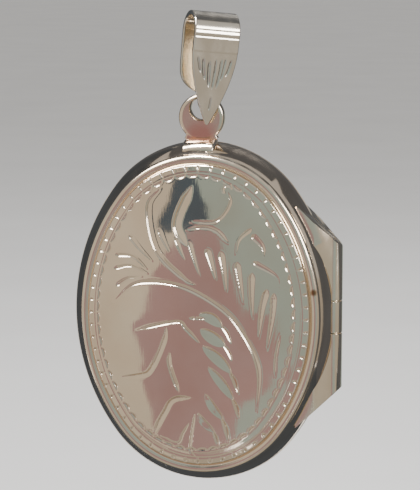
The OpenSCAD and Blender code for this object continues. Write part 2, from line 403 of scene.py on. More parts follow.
# The scroll of leaves: each cut is (width, points from the body's middle, x towards the joint and z up)
STEMS = [
    (0.42, [(-7.6, 0.9), (-5.3, 2.8), (-1.5, 2.8), (1.9, 1.2), (3.9, -0.8), (5.5, -4.2), (5.3, -8.2)]),
    (0.50, [(-3.2, 11.1), (-4.3, 9.4), (-3.5, 5.8), (-1.0, 3.4), (0.2, 2.9)]),
    (0.80, [(-0.5, 11.3), (-1.7, 8.1), (-0.8, 6.2)]),
    (0.30, [(2.6, 11.1), (2.9, 9.9), (1.7, 8.4), (-0.6, 8.3)]),
    (0.28, [(2.95, 11.0), (2.9, 11.35), (2.6, 11.46), (2.3, 11.3), (2.25, 11.0), (2.5, 10.8)]),
    (0.30, [(-0.58, -0.03), (0.2, 0.0), (0.9, -0.02)]),
    (0.36, [(-0.9, 7.6), (0.5, 7.9), (1.8, 7.6), (2.9, 6.5)]),
    (0.34, [(-5.3, -1.3), (-1.7, -0.4), (-0.8, -1.0), (0.6, -2.4)]),
    (0.50, [(-2.6, -0.8), (-2.8, -2.2), (-4.0, -4.8), (-5.0, -5.4), (-6.8, -5.6)]),
    (0.42, [(-2.3, -3.1), (-2.3, -4.3), (-1.5, -6.7)]),
    (0.50, [(-0.3, -7.1), (-2.0, -7.4), (-2.8, -8.6), (-3.9, -10.6)]),
    (0.22, [(-3.5, -10.7), (-1.8, -11.3), (-1.2, -10.3), (-0.6, -9.3)]),
    (0.24, [(-0.1, -8.4), (-0.6, -11.7), (-0.1, -12.6)]),
    (0.22, [(7.4, -1.1), (7.0, -3.2), (6.9, -5.1)]),
]
DROPS = [
    (0.45, [(4.8, 7.8), (3.8, 6.9), (3.5, 5.6)]), (0.60, [(4.9, 7.3), (5.8, 6.3), (5.9, 5.3)]),
    (0.50, [(5.0, 5.0), (6.9, 3.9), (7.3, 2.9)]), (0.46, [(-6.0, 6.9), (-5.0, 5.8), (-3.9, 4.8)]),
    (0.42, [(-7.3, 5.2), (-5.7, 5.1), (-4.4, 4.1)]), (0.42, [(-7.4, 4.0), (-5.9, 4.3), (-4.3, 3.7)]),
    (0.42, [(-7.2, 2.5), (-6.1, 3.2), (-4.8, 3.4)]), (0.50, [(-3.3, 7.5), (-2.8, 6.5), (-2.3, 5.6)]),
    (0.42, [(-1.8, 6.9), (-1.4, 5.9), (-0.9, 4.9)]), (0.45, [(-0.6, 6.6), (-0.1, 5.0), (0.4, 3.6)]),
    (0.60, [(1.0, 6.0), (1.4, 4.7), (1.8, 3.3)]), (0.60, [(2.2, 5.8), (2.5, 4.1), (2.7, 2.3)]),
    (0.62, [(3.6, 4.9), (3.9, 3.2), (4.2, 1.4)]), (0.62, [(4.9, 4.0), (4.9, 2.1), (5.0, 0.0)]),
    (0.66, [(6.2, 2.6), (5.8, 0.9), (5.5, -1.7)]), (0.60, [(6.8, 2.3), (6.7, 0.4), (6.2, -2.7)]),
]
LEAVES = [
    (0.95, [(0.4, 0.3), (1.4, 0.0), (2.3, -0.65)]), (1.10, [(0.5, -1.05), (1.5, -1.7), (2.55, -2.35)]),
    (1.00, [(0.65, -2.5), (2.0, -3.6), (3.1, -4.7)]), (0.85, [(1.1, -4.3), (2.25, -5.7), (3.3, -7.15)]),
    (0.75, [(0.8, -6.75), (1.5, -8.0), (2.35, -8.95)]), (0.66, [(0.1, -8.5), (0.7, -9.45), (1.6, -10.2)]),
]
TAILS = [
    (0.34, [(2.15, -0.55), (2.74, -1.2), (3.18, -2.17)]),
    (0.34, [(2.4, -2.25), (2.91, -2.9), (3.22, -3.7)]),
    (0.38, [(2.95, -4.55), (3.39, -5.42), (3.73, -6.55)]),
    (0.40, [(3.15, -6.95), (3.55, -7.8), (3.75, -8.76)]),
    (0.38, [(2.2, -8.8), (2.56, -9.69), (2.8, -10.84)]),
    (0.32, [(1.45, -10.05), (1.7, -10.66), (1.86, -11.26)]),
]


def scroll_lines():
    """The scroll's cuts, with the lean of each kind."""
    kinds = [
        (STEMS, stem_width, -0.35),
        (DROPS, drop_width, -0.3),
        (LEAVES, leaf_width, 0.2),
        (TAILS, leaf_width, 0),
    ]
    return [(width, shape, smooth_line(p), lean) for cuts, shape, lean in kinds for width, p in cuts]


def border_lines(marks=64, outer=2.16, between=2.46, inner=2.86, wander=0.2):
    """Rows of marks round the cover: nicks cut inwards, a fine line, and a chain of crescents inside it.

    The chain runs closer to the edge above and away from the joint.
    """
    nick_w, crescent_w, fine_w = 0.36, 0.27, 0.13
    nick_out, nick_in, crescent_bow = 0.22, 0.24, 0.14
    per_mark = 12
    lines = []
    base, normal = outline(marks * 2, outer)
    for i in range(0, marks * 2, 2):
        at, out = base[i] - outer * normal[i], normal[i]
        lines.append((nick_w, drop_width, [at + nick_out * out, at, at - nick_in * out], 0))
    fine, fine_normal = outline(marks * per_mark + 1, inner)
    for i in range(marks):
        chosen = per_mark * i + np.arange(per_mark + 1)
        at, out = fine[chosen % len(fine)], fine_normal[chosen % len(fine)]
        bow = crescent_bow * np.sin(np.linspace(0, np.pi, per_mark + 1))
        bow += wander * (out[:, 0] - out[:, 1])
        lines.append((crescent_w, leaf_width, at - (inner + bow[:, None]) * out, 0))
        lines.append((fine_w, np.ones_like, at - between * out, 0))
    return lines


# ---- covers

def dome(share):
    """Height of a cover over the parting plane, from its middle (0) to its edge (1)."""
    below_box, power = 0.02, 2.1
    return border_h + (crown_h - below_box - border_h) * (1 - share ** power)


def make_cover(name, side, lines, stations=1024, spacing=0.07):
    """A thin domed cover with its engraving cut into the outside."""
    cut_slope, cut_limit = 0.75, 0.19
    play, corner = 0.03, 0.12
    base, normal = outline(stations, cover_edge)
    edge = base - cover_edge * normal
    reach = np.linalg.norm(edge, axis=1).mean()

    outside = [placed(edge[:, 0], edge[:, 1], side * h) for h in (band_d + 0.01, band_d + 0.15)]
    shares = np.arange(1, 0.01, -spacing / reach)
    spots = [thinned(edge, share) for share in shares]
    counts = [len(at) for at in spots]
    cuts = np.split(cut_depth(np.vstack(spots), lines, cut_slope, cut_limit), np.cumsum(counts)[:-1])
    for share, at, cut in zip(shares, spots, cuts):
        lip = np.clip(shoulder - (inset_of(at[:, 0], at[:, 1]) - cover_edge), 0, shoulder)
        fall = shoulder - np.sqrt(shoulder ** 2 - lip ** 2)
        outside.append(placed(at[:, 0], at[:, 1], side * (dome(share) - fall - cut)))
    outside.append(placed(np.zeros(1), np.zeros(1), side * dome(0)))

    inside = []
    roof = dome(0.95) - cover_t
    for inset, height in ((0.02, band_d), (ledge_w - play, band_d), (ledge_w, band_d + play),
                          (ledge_w, roof - corner), (ledge_w + corner, roof)):
        at = edge - inset * normal
        inside.append(placed(at[:, 0], at[:, 1], side * height))
    for share in 0.93 * 0.92 ** np.arange(50):
        at = thinned(edge, share)
        inside.append(placed(at[:, 0], at[:, 1], side * (dome(share) - cover_t)))
    inside.append(placed(np.zeros(1), np.zeros(1), side * (dome(0) - cover_t)))
    return ring_mesh(name, [outside, inside])


# ---- rims, bands and the inside

def band_arc(radius, low, high, steps):
    """Points of a band's swelling, as (offset from the outer oval, height)."""
    return [(-swell_r + math.sqrt(radius ** 2 - h ** 2), h) for h in np.linspace(low, high, steps)]


def rim_profile():
    """A half-round wire, soldered down to the cover along its inner foot."""
    rim_r = (cover_edge - flare) / 2
    foot = 0.01
    turn = np.linspace(0, math.radians(114), 17)
    arc = [(-flare - rim_r + rim_r * math.cos(a), band_d + rim_r * math.sin(a)) for a in turn]
    return [*arc, (-cover_edge, arc[-1][1] - foot), (-cover_edge, band_d)]


def band_profile():
    """The swelling side wall, with a ledge at its outer end that carries the cover."""
    edge, steps = 0.05, 14
    outer = band_arc(swell_r, parting + edge, band_d, steps)
    inner = band_arc(swell_r - band_t, band_d - ledge_t, parting + edge, steps)
    ledge = [(-cover_edge - ledge_w, band_d), (-cover_edge - ledge_w, band_d - ledge_t)]
    return [(-edge, parting), *outer, *ledge, *inner, (-band_t + edge, parting)]


def bezel_profile():
    """The thin wall inside a band, and the flat ring that turns in over the window."""
    wall, low, high = 0.18, bezel_base, bezel_top
    thick, edge = 0.3, 0.05
    outer = band_arc(swell_r - band_t, high - thick, high, 3)
    corners = [(-frame_edge, low), (-frame_edge + wall, low), (-frame_edge + wall, high - 0.35)]
    inner = [(-bezel_reach, high), (-bezel_reach, high - thick), (-frame_edge, high - thick)]
    return fillet([*corners, *outer, *inner], edge, 2)


def frame_profile():
    """The loose ring over a picture, with its inner edge bevelled towards the parting."""
    high, low, slope = frame_low + frame_t, frame_low, frame_t / 2
    edge = 0.05
    return fillet([(-frame_edge, low), (-frame_edge, high), (-frame_edge - frame_w, high),
                   (-frame_edge - frame_w, low + slope), (-frame_edge - frame_w + slope, low)], edge, 3)


def lip_profile():
    """The snap lip: its root lies against the back band, and its crest reaches into the front one."""
    thick, edge = 0.28, 0.1
    outer = -band_t - lip_play
    inner = outer - thick
    root = band_arc(swell_r - band_t, lip_root, parting, 4)
    corners = [(outer, parting), (outer, -lip_h), (inner, -lip_h), (inner, parting)]
    crest = fillet(corners, [0, edge, edge, 0], 4)
    return [*root, *crest, (inner, lip_root)]


# ---- joint

def bevelled_end(high):
    """Height of the joint's bevelled end, above or below, at a place across it."""
    sign = 1 if high else -1
    at_axis = bevel_top if high else bevel_bottom
    return lambda x: at_axis - sign * bevel * (x - joint_x)


def make_tube(name, low, high, outer, bore=0.0, count=64):
    """A tube or rod round the joint's axis. low and high give the height of its ends, from x across it."""
    edge = min(0.05, (outer - bore) / 5)
    wall = [(outer, low, edge), (outer, high, -edge), (outer - edge, high, 0)]
    if bore:
        wall += [(bore + edge, high, 0), (bore, high, -edge), (bore, low, edge), (bore + edge, low, 0)]
    else:
        wall += [(outer / 2, high, 0), (outer / 2, low, 0)]
    wall.append((outer - edge, low, 0))
    sections = []
    for turn in np.arange(count) / count * 2 * math.pi:
        out = np.array([math.cos(turn), math.sin(turn)])
        sections.append([(middle[0] + joint_x + r * out[0], r * out[1],
                          middle[2] + end(joint_x + r * out[0]) + shift) for r, end, shift in wall])
    piece = loft(name, sections, closed=True)
    if not bore:
        work = bmesh.new()
        work.from_mesh(piece.data)
        rings = [e for e in work.edges if e.is_boundary]
        bmesh.ops.holes_fill(work, edges=rings)
        work.to_mesh(piece.data)
        work.free()
    return crisp(piece, 40)


def level(height):
    """A square end of a tube, at one height all over."""
    return lambda x: height


def rod(name, low, high, radius, count=64):
    """A plain rod round the joint's axis, for cutting with."""
    turn = np.arange(count) / count * 2 * math.pi
    x, y = middle[0] + joint_x + radius * np.cos(turn), radius * np.sin(turn)
    ends = [np.stack([x, y, np.full(count, middle[2] + z)], -1) for z in (low, high)]
    return loft(name, ends)


def slab(name, low, high):
    """A box between two corners of the body's frame, for cutting with."""
    (x0, y0, z0), (x1, y1, z1) = low, high
    ring = [(x0, y0), (x1, y0), (x1, y1), (x0, y1)]
    return loft(name, [[(middle[0] + x, y, middle[2] + z) for x, y in ring] for z in (z0, z1)])


def make_joint_room(piece, own, other):
    """Cuts room for the tubes out of a piece: a close fit for its own, and a gap round the others."""
    reach, past_joint, past_tube = 5, 9.5, 9
    boolean(piece, slab("cutter", (joint_x, -reach, -past_joint), (joint_x + reach, reach, past_joint)))
    rooms = [(name, 0, tube_r) for name in own]
    rooms += [(name, knuckle_gap, tube_r + swing_gap) for name in other]
    for name, gap, radius in rooms:
        low, high = knuckle_spans[name]
        if name == "lower_knuckle":
            low = -past_tube
        if name == "upper_knuckle":
            high = past_tube
        boolean(piece, rod("cutter", low - gap, high + gap, radius))
    return crisp(piece, 35)


def room_for(side):
    """The tubes that belong to a half, and those that don't."""
    ends = ["upper_knuckle", "lower_knuckle"]
    return (ends, ["middle_knuckle"]) if side == FRONT else (["middle_knuckle"], ends)


def barrel():
    """The band's swelling as a solid ring, which the bearers are fitted against."""
    core = -4
    arc = band_arc(swell_r, -band_d, band_d, 40)
    return sweep("barrel", [*arc, (core, band_d), (core, -band_d)], BACK, count=360)


def make_bearer(name, side, upper):
    """A wedge soldered to a band. It carries the tube at its bevelled end."""
    edge = 0.045
    near_z = 0.4 if upper else -0.4
    end = bevelled_end(upper)
    outline_xy = [(joint_x - bearer_root, parting), (joint_x, parting), (joint_x, bearer_low),
                  (joint_x - bearer_reach, bearer_high), (joint_x - bearer_root, bearer_high)]
    rows = [[(middle[0] + x, side * y, middle[2] + near_z) for x, y in outline_xy],
            [(middle[0] + x, side * y, middle[2] + end(x)) for x, y in outline_xy]]
    piece = loft(name, rows)
    boolean(piece, barrel())
    make_joint_room(piece, *room_for(side))
    applied(piece, ("BEVEL", {"width": edge * MM, "segments": 3, "limit_method": "ANGLE",
                              "angle_limit": math.radians(35), "use_clamp_overlap": True}))
    return crisp(piece, 50)


# ---- lug

def extruded(name, outline_xz, thick):
    """A flat plate of an outline in the body's plane, centred on the parting plane."""
    p = np.asarray(outline_xz, float)
    return loft(name, [placed(p[:, 0], p[:, 1], y) for y in (-thick / 2, thick / 2)])


def lathe(name, profile, x, z, count=96):
    """Turns a closed (radius, height) profile about a line through (x, z) across the parting plane."""
    turn = np.arange(count) / count * 2 * math.pi
    p = np.asarray(profile, float)
    sections = [placed(x + p[:, 0] * math.cos(a), z + p[:, 0] * math.sin(a), p[:, 1]) for a in turn]
    return loft(name, sections, closed=True)


def circle(x, z, radius, count=24):
    """Points of a circle in the body's plane."""
    return [(x + radius * math.cos(a), z + radius * math.sin(a))
            for a in np.linspace(0, 2 * math.pi, count, endpoint=False)]


def make_lug_ring(name):
    """The lug's eccentric ring with its neck, cast in one, with filed edges and fillets."""
    edge, eye, hole_edge = 0.36, 0.3, 0.2
    disc = fillet([(eye, -lug_t / 2), (lug_r, -lug_t / 2), (lug_r, lug_t / 2), (eye, lug_t / 2)],
                  [0, edge, edge, 0], 6)
    piece = lathe(name, disc, lug_x, lug_z)
    base, neck_t = half_h - 0.2, 0.8
    flank = [(1.42, half_h + 0.35), (1.2, half_h + 0.75), (1.35, half_h + 1.2)]
    neck = [(-1.6, base), (1.6, base), *flank, (0, lug_z), *[(-x, z) for x, z in reversed(flank)]]
    boolean(piece, extruded("neck", [(lug_x + x, z) for x, z in neck], neck_t), "UNION")
    boolean(piece, extruded("plug", circle(lug_x, lug_z, eye + 0.2), lug_t), "UNION")
    applied(piece, ("REMESH", {"mode": "VOXEL", "voxel_size": 0.045 * MM}),
            ("SMOOTH", {"factor": 0.6, "iterations": 14}))
    hole = fillet([(0.1, -lug_t), (lug_hole_r + lug_t / 2, -lug_t), (lug_hole_r, -lug_t / 2 + hole_edge),
                   (lug_hole_r, lug_t / 2 - hole_edge), (lug_hole_r + lug_t / 2, lug_t), (0.1, lug_t)],
                  [0, 0, hole_edge, hole_edge, 0, 0], 6)
    boolean(piece, lathe("hole", hole, lug_x, hole_z))
    boolean(piece, extruded("core", circle(lug_x, hole_z, eye), 2 * lug_t))
    plate = [(o + foot_t - 0.02, h) for o, h in band_arc(swell_r, -2, 2, 24)]
    seat = sweep("seat", [*plate, (-3, 2), (-3, -2)], BACK, count=360)
    return crisp(boolean(piece, seat), 40)


def make_lug_foot(name, columns=40, rows=24):
    """A curved plate with soft corners, soldered to the front band's swelling."""
    solder, thin_edge, corner = 0.01, 0.12, 0.05
    half_span = math.asin((foot_high[0] - foot_low[0]) / 2 / (end_r + foot_t))
    middle_turn = math.pi / 2 - math.asin(lug_x / (end_r + foot_t))
    skins = []
    for skin in (0, 1):
        points = []
        for v in np.linspace(-1, 1, rows):
            for u in np.linspace(-1, 1, columns):
                near_edge = max(abs(u) ** 8, max(0, v) ** 3)
                crown = thin_edge + (1 - thin_edge) * math.sqrt(max(0, 1 - near_edge))
                raised = solder + skin * (foot_t - 0.012) * crown
                turn = middle_turn + half_span * u * (1 - corner * v ** 6)
                h = (parting + foot_d) / 2 + (foot_d - parting) / 2 * v * (1 - corner * u ** 6)
                radius = end_r - swell_r + math.sqrt((swell_r + raised) ** 2 - h ** 2)
                points.append((middle[0] + radius * math.cos(turn), -h,
                               middle[2] + end_c + radius * math.sin(turn)))
        skins.append(points)
    count = rows * columns
    faces = grid_faces(rows, columns, False, False)
    faces += [tuple(i + count for i in reversed(f)) for f in faces]
    rim = [*range(columns)]
    rim += [r * columns + columns - 1 for r in range(1, rows)]
    rim += [(rows - 1) * columns + c for c in reversed(range(columns - 1))]
    rim += [r * columns for r in range(rows - 2, 0, -1)]
    faces += [(a, b, b + count, a + count) for a, b in zip(rim, rim[1:] + rim[:1])]
    return crisp(mesh_object(name, skins[0] + skins[1], faces), 50)


# ---- bail

def bezier(points, t):
    """Points of a curve with three control points."""
    a, b, c = np.asarray(points, float)
    t = np.asarray(t)[:, None]
    return (1 - t) ** 2 * a + 2 * t * (1 - t) * b + t ** 2 * c


def spaced(path, spacing):
    """The same path with points at even spacing."""
    path = np.asarray(path)
    run = np.concatenate([[0], np.cumsum(np.linalg.norm(np.diff(path, axis=0), axis=1))])
    at = np.linspace(0, run[-1], int(run[-1] / spacing))
    return np.stack([np.interp(at, run, path[:, 0]), np.interp(at, run, path[:, 1])], -1)


def bail_path():
    """The middle line of the bail's strip as (depth, height), from its front tip to its tail."""
    arch_r = 1.65
    arch_z = bail_h - arch_r + bail_t / 2
    leg_v, tip_z, crook_r = -1.55, -2.3, 0.92
    turn = np.linspace(math.pi, 0, 40)
    front = bezier([(leg_v + 0.08, tip_z), (leg_v - 0.1, 1.2), (-arch_r, arch_z)], np.linspace(0, 1, 60))
    arch = np.stack([arch_r * np.cos(turn), arch_z + arch_r * np.sin(turn)], -1)
    back = bezier([(arch_r, arch_z), (crook_r + 0.45, 2), (crook_r, 0)], np.linspace(0, 1, 60))
    turn = np.linspace(0, -math.pi / 2, 24)
    crook = np.stack([crook_r * np.cos(turn), crook_r * np.sin(turn)], -1)
    tail = np.array([(leg_v + 0.3, -crook_r)])
    return np.vstack([front, arch[1:], back[1:], crook[1:], tail])


def bail_width(height, is_front):
    """Width of the leaf in front, or of the leg behind, at a height over the swing axis."""
    collar_z, wide = 4.0, 4.1
    low, low_w, power = (-2.3, 0.25, 1.7) if is_front else (0.1, 0.56, 6)
    share = np.clip((collar_z - height) / (collar_z - low), 0, 1)
    return low_w + (wide - low_w) * (1 - share ** power)


# Veins of the leaf: each cut is (width, points across and up the leaf)
LEAF_CUTS = [
    (0.24, [(-1.55, 3.6), (-1.38, 2.9), (-1.12, 2.1)]), (0.30, [(-1.05, 3.5), (-0.92, 2.5), (-0.70, 1.5)]),
    (0.34, [(-0.45, 3.3), (-0.40, 2.1), (-0.28, 0.9)]), (0.22, [(0.12, 3.5), (0.10, 2.2), (0.02, 0.7)]),
    (0.26, [(0.62, 3.6), (0.56, 2.2), (0.38, 0.8)]), (0.22, [(0.98, 3.6), (0.90, 2.6), (0.72, 1.5)]),
    (0.26, [(1.50, 3.5), (1.38, 2.7), (1.12, 1.9)]), (0.20, [(0.05, 0.2), (0.03, -0.4), (0.0, -1.1)]),
]


def make_bail(name, columns=81):
    """A tapered strip: an engraved leaf in front, folded over to a plain leg that hooks into the lug."""
    fine = spaced(bail_path(), 0.06)
    tangent = np.gradient(fine, axis=0)
    tangent /= np.linalg.norm(tangent, axis=1)[:, None]
    normal = np.stack([-tangent[:, 1], tangent[:, 0]], -1)
    height = fine[:, 1]
    is_front = np.arange(len(fine)) <= np.argmax(height)
    width = np.where(is_front, bail_width(height, True), bail_width(height, False))[:, None]

    even = np.linspace(-1, 1, columns)
    across = (0.7 * even + 0.3 * np.sin(even * math.pi / 2)) * width / 2
    rounded, worn = np.minimum(0.11, width / 3), 0.1
    near_edge = np.clip((np.abs(across) - (width / 2 - rounded)) / rounded, 0, 1)
    half_t = bail_t / 2 - worn * (1 - np.sqrt(1 - near_edge ** 2))

    lines = [(w, stem_width, smooth_line(p, 0.08), 0) for w, p in LEAF_CUTS]
    points = np.stack([across, np.broadcast_to(height[:, None], across.shape)], -1).reshape(-1, 2)
    veins = cut_depth(points, lines, slope=0.5, limit=0.08, burr=0.008).reshape(across.shape)
    crease_d, crease_w, crease_heights = 0.035, 0.09, (5.3, 5.75)
    creases = sum(crease_d * np.exp(-((height - z) / crease_w) ** 2) for z in crease_heights)[:, None]
    leaf_top, leaf_step = 4.0, 0.06
    cuts = is_front[:, None] * (creases + np.where(height[:, None] < leaf_top, leaf_step + veins, 0))

    sections = []
    for at, out, x, half, cut in zip(fine, normal, across, half_t, cuts):
        outer = [(c, *(at + out * (h - k))) for c, h, k in zip(x, half, cut)]
        inner = [(c, *(at - out * h)) for c, h in zip(x[::-1], half[::-1])]
        sections.append(outer + inner)
    piece = loft(name, sections)
    aside = 0.18
    turn = Matrix.Rotation(bail_lean, 4, "Y") @ Matrix.Rotation(bail_turn, 4, "Z")
    piece.data.transform(Matrix.Translation(Vector(swing + [aside, 0, 0]) * MM) @ turn)
    return crisp(piece, 50)


# ---- windows

def make_window(name, side):
    """A clear oval sheet with softly rounded edges."""
    low, high = -glass_high[1], -glass_low[1]
    base, normal = outline(256, frame_edge)
    edge = base - frame_edge * normal
    soft, play = 0.04, 0.01
    corners = ((soft, low), (play, low + soft), (play, high - soft), (soft, high))
    ring = [(edge - normal * s, h) for s, h in corners]
    skins = []
    for h, order in ((low, ring[:2]), (high, ring[:1:-1])):
        rings = [placed(p[:, 0], p[:, 1], side * y) for p, y in reversed(order)]
        for share in (0.8, 0.55, 0.3, 0.15, 0.07, 0.03):
            at = thinned(edge, share)
            rings.append(placed(at[:, 0], at[:, 1], side * np.full(len(at), h)))
        rings.append(placed(np.zeros(1), np.zeros(1), side * h))
        skins.append(rings)
    return crisp(ring_mesh(name, skins), 40)


# ---- materials

def new_material(name):
    """A new node material, with its tree and its shader."""
    material = bpy.data.materials.new(name)
    material.use_nodes = True
    tree = material.node_tree
    return material, tree, tree.nodes["Principled BSDF"]


def feed(tree, node, inputs):
    """Sets a node's inputs. Each is a value, or another node's output to link."""
    for key, value in inputs.items():
        if isinstance(value, bpy.types.NodeSocket):
            tree.links.new(value, node.inputs[key])
        else:
            node.inputs[key].default_value = value


def add_node(tree, kind, inputs, **settings):
    """A new shader node, with its settings and inputs."""
    node = tree.nodes.new("ShaderNode" + kind)
    for key, value in settings.items():
        setattr(node, key, value)
    feed(tree, node, inputs)
    return node


def noise(tree, scale, detail=3.0, stretch=None):
    """A noise texture in object space, with scale in features per metre."""
    place = add_node(tree, "TexCoord", {}).outputs["Object"]
    if stretch:
        turned = {"Vector": place, "Scale": stretch, "Rotation": (0, 0.5, 0)}
        place = add_node(tree, "Mapping", turned).outputs["Vector"]
    return add_node(tree, "TexNoise", {"Vector": place, "Scale": scale, "Detail": detail}).outputs["Fac"]


def ramp(tree, value, *stops):
    """A colour ramp over value, with stops of (place, colour)."""
    node = add_node(tree, "ValToRGB", {"Fac": value})
    elements = node.color_ramp.elements
    while len(elements) < len(stops):
        elements.new(0.5)
    for element, (place, colour) in zip(elements, stops):
        element.position = place
        element.color = (*colour, 1)
    return node.outputs["Color"]


def grey(value):
    """A colour with no hue."""
    return (value, value, value)


def blend_colour(tree, factor, a, b, how="MIX"):
    """A mix of two colours, either of which may be a node's output."""
    a, b = ((*colour, 1) if isinstance(colour, tuple) else colour for colour in (a, b))
    mixed = {"Factor": factor, "A": a, "B": b}
    return add_node(tree, "Mix", mixed, data_type="RGBA", blend_type=how).outputs["Result"]


def closeness(tree, point, radius):
    """1 near a point of the body, in mm, falling unevenly to 0 past a radius."""
    place = add_node(tree, "TexCoord", {}).outputs["Object"]
    ends = {0: place, 1: (middle + np.array(point)) * MM}
    distance = add_node(tree, "VectorMath", ends, operation="DISTANCE").outputs["Value"]
    uneven = {0: noise(tree, 1500, 4), 1: 0.5 * radius * MM, 2: distance}
    ragged = add_node(tree, "Math", uneven, operation="MULTIPLY_ADD").outputs["Value"]
    start, stop = 0.8 * radius * MM, 1.5 * radius * MM
    fade = {"Value": ragged, "From Min": start, "From Max": stop, "To Min": 1, "To Max": 0}
    return add_node(tree, "MapRange", fade).outputs["Result"]


def bump(tree, height, distance, under=None):
    """The normal of a bump of a height in mm, on top of another if one is given."""
    inputs = {"Strength": 1.0, "Distance": distance * MM, "Height": height}
    if under:
        inputs["Normal"] = under
    return add_node(tree, "Bump", inputs).outputs["Normal"]


def gold(name, tint, shade, polish=0.07, wear=0.16, ripple=0.012, scratch=0.0012, stain=None):
    """Worn polished gold: redder patches, dull smears, hairlines, and painted shade in hollows and cut
    bottoms.

    stain is a discoloured place: its point, its radius and its colour.
    """
    material, tree, shader = new_material(name)
    patches = ramp(tree, noise(tree, 260, 4), (0.35, grey(0.0)), (0.7, grey(1.0)))
    colour = blend_colour(tree, patches, tint, shade)
    if stain:
        point, radius, stained = stain
        colour = blend_colour(tree, closeness(tree, point, radius), colour, stained)
    # Painted shade: the colour is darkened where the surface curves inwards, in cuts, grooves and creases.
    pointed = add_node(tree, "NewGeometry", {}).outputs["Pointiness"]
    painted_hollow_shade = ramp(tree, pointed, (0.40, grey(0.45)), (0.485, grey(1.0)))
    colour = blend_colour(tree, 1.0, colour, painted_hollow_shade, "MULTIPLY")
    smears = ramp(tree, noise(tree, 900, 6, (1, 1, 0.35)), (0.4, grey(polish)), (0.75, grey(wear)))
    waves = bump(tree, noise(tree, 330, 2), ripple)
    hairlines = bump(tree, noise(tree, 9000, 4, (1, 1, 0.06)), scratch, waves)
    feed(tree, shader, {"Base Color": colour, "Roughness": smears, "Metallic": 1.0, "Normal": hairlines})
    return material


def clear_sheet(name):
    """A clear window with faint dust and rubbed patches."""
    material, tree, shader = new_material(name)
    rubbed = ramp(tree, noise(tree, 500, 5), (0.45, grey(0.02)), (0.8, grey(0.14)))
    dust = ramp(tree, noise(tree, 200, 3), (0.3, (0.96, 0.97, 0.97)), (0.8, (0.90, 0.92, 0.91)))
    feed(tree, shader, {"Base Color": dust, "Roughness": rubbed, "Transmission Weight": 1.0, "IOR": 1.49})
    return material


def plain_floor(name):
    """Pale matt paper with a faint mottle."""
    material, tree, shader = new_material(name)
    mottle = ramp(tree, noise(tree, 14, 3), (0.3, (0.83, 0.82, 0.81)), (0.7, (0.87, 0.86, 0.85)))
    feed(tree, shader, {"Base Color": mottle, "Roughness": 0.8})
    return material


PALE, ROSE = (0.90, 0.78, 0.62), (0.87, 0.71, 0.55)
COPPER, BURNT = (0.82, 0.52, 0.40), (0.30, 0.17, 0.09)
neck_at = (lug_x, 0, half_h + 0.3)
spot_at = (10.13, -band_d - 0.4, 2.4)
GOLDS = {
    "bail_gold": gold("bail_gold", (0.86, 0.79, 0.68), (0.81, 0.73, 0.61), polish=0.14, wear=0.28),
    "lug_gold": gold("lug_gold", PALE, ROSE, polish=0.10, wear=0.26, stain=(neck_at, 1.6, COPPER)),
    "cover_gold": gold("cover_gold", PALE, ROSE, polish=0.035, wear=0.10),
    "rim_gold": gold("rim_gold", PALE, ROSE, polish=0.10, wear=0.22, stain=(spot_at, 0.3, BURNT)),
    "band_gold": gold("band_gold", (0.82, 0.70, 0.56), (0.76, 0.62, 0.49), polish=0.06, wear=0.16),
    "inner_gold": gold("inner_gold", PALE, (0.80, 0.64, 0.46), polish=0.12, wear=0.3),
    "joint_gold": gold("joint_gold", (0.90, 0.80, 0.64), ROSE, polish=0.14, wear=0.28),
    "pin_gold": gold("pin_gold", (0.84, 0.76, 0.66), (0.7, 0.6, 0.5), polish=0.2, wear=0.35),
    "window_clear": clear_sheet("window_clear"),
}


# ---- building

def shown(piece, body, slot_name):
    """Gives a finished piece its body, its slot and its material.

    It stands for the CAD node that it is named after.
    """
    piece.data.materials.clear()
    piece.data.materials.append(GOLDS[slot_name])
    node = piece.name.removesuffix("_piece")
    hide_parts(node)
    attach(piece, body)


def build_half(word, side, body):
    """The cover, rim, band, bezel, frame, window and bearers of one half."""
    lines = border_lines() + (scroll_lines() if side == FRONT else [])
    room = room_for(side)
    shown(make_cover(f"{word}_cover_piece", side, lines), body, "cover_gold")
    shown(sweep(f"{word}_rim_piece", rim_profile(), side, 720), body, "rim_gold")
    band = sweep(f"{word}_band_piece", band_profile(), side, 720)
    shown(make_joint_room(band, *room), body, "band_gold")
    bezel = sweep(f"{word}_picture_bezel_piece", bezel_profile(), side, 360)
    shown(make_joint_room(bezel, *room), body, "inner_gold")
    shown(crisp(sweep(f"{word}_picture_frame_piece", frame_profile(), side, 360)), body, "inner_gold")
    shown(make_window(f"{word}_window_piece", side), body, "window_clear")
    for place, upper in (("upper", True), ("lower", False)):
        shown(make_bearer(f"{place}_{word}_bearer_piece", side, upper), body, "joint_gold")


def build_joint():
    """The three knuckles and their pin, which is fast in the outer ones and free in the middle one."""
    fast, free = pin_r + 0.01, pin_r + 0.03
    ends = {name: [level(height) for height in span] for name, span in knuckle_spans.items()}
    knuckles = [
        ("upper_knuckle", ends["upper_knuckle"][0], bevelled_end(True), fast, "front_half"),
        ("middle_knuckle", *ends["middle_knuckle"], free, "back_half"),
        ("lower_knuckle", bevelled_end(False), ends["lower_knuckle"][1], fast, "front_half"),
    ]
    for name, low, high, bore, body in knuckles:
        shown(make_tube(f"{name}_piece", low, high, tube_r, bore), body, "joint_gold")
    pin = make_tube("joint_pin_piece", bevelled_end(False), bevelled_end(True), pin_r)
    shown(pin, "front_half", "pin_gold")


def build_snap_lip():
    """The snap lip runs round the back half, apart from the stretch behind the joint."""
    clear_x, clear_z = 9.3, 9.5

    def away_from_joint(x, z):
        return x < clear_x or abs(z) > clear_z

    lip = sweep("snap_lip_piece", lip_profile(), BACK, 480, keep=away_from_joint)
    shown(crisp(lip), "back_half", "inner_gold")


# ---- studio

def upright(start, stop, low, high):
    """Corners of an upright sheet that runs from one (x, depth) to another."""
    return [(*start, low), (*stop, low), (*stop, high), (*start, high)]


